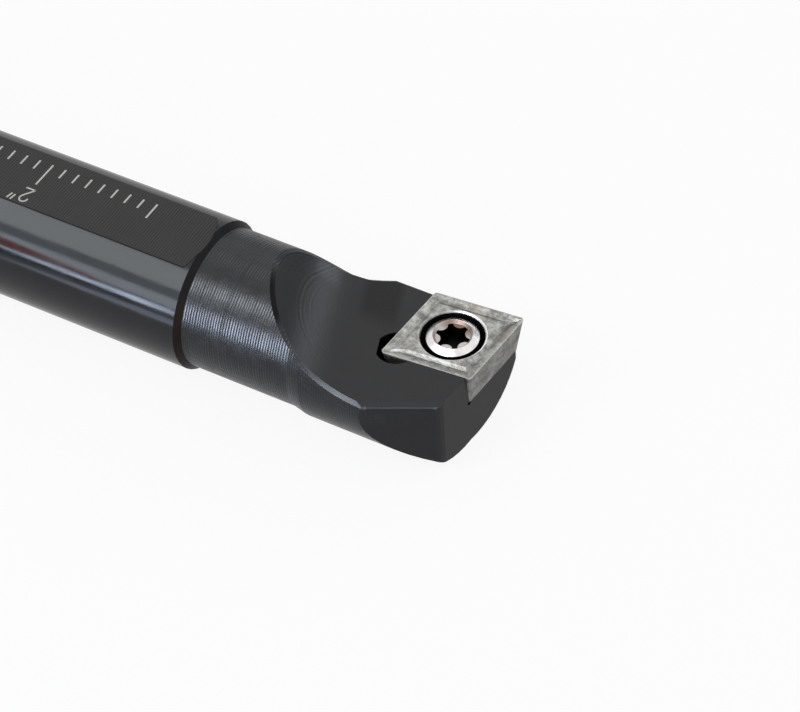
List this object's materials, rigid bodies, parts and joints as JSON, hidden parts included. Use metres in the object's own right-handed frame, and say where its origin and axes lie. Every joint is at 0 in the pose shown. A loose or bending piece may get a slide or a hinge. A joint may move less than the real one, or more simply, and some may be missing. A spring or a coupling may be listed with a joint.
{
  "type": "indexable boring bar",
  "caption": "Round-shank lathe boring bar with a top flat, a turned neck and a scooped head that carries a rhombic cutting insert held by a countersunk screw.",
  "frame": {"origin": "centre of the shank's rear end face, on the bar's axis", "axes": "+X along the bar's axis towards the cutting tip, +Y towards the cutting side, +Z out of the shank's flat and the insert's top"},
  "size_m": [0.2032, 0.0178, 0.0158],
  "materials": {
    "black_oxide_steel": "black oxide over turned and milled steel, oily gloss on the shank and satin on the milled faces",
    "carbide": "uncoated sintered carbide, satin grey with faint mottling",
    "screw_steel": "bright turned screw head with a dark six-lobe socket"
  },
  "bodies": {
    "root": {"bar_body": "black_oxide_steel", "cutting_insert": "carbide", "insert_screw": "screw_steel"}
  },
  "joints": []
}
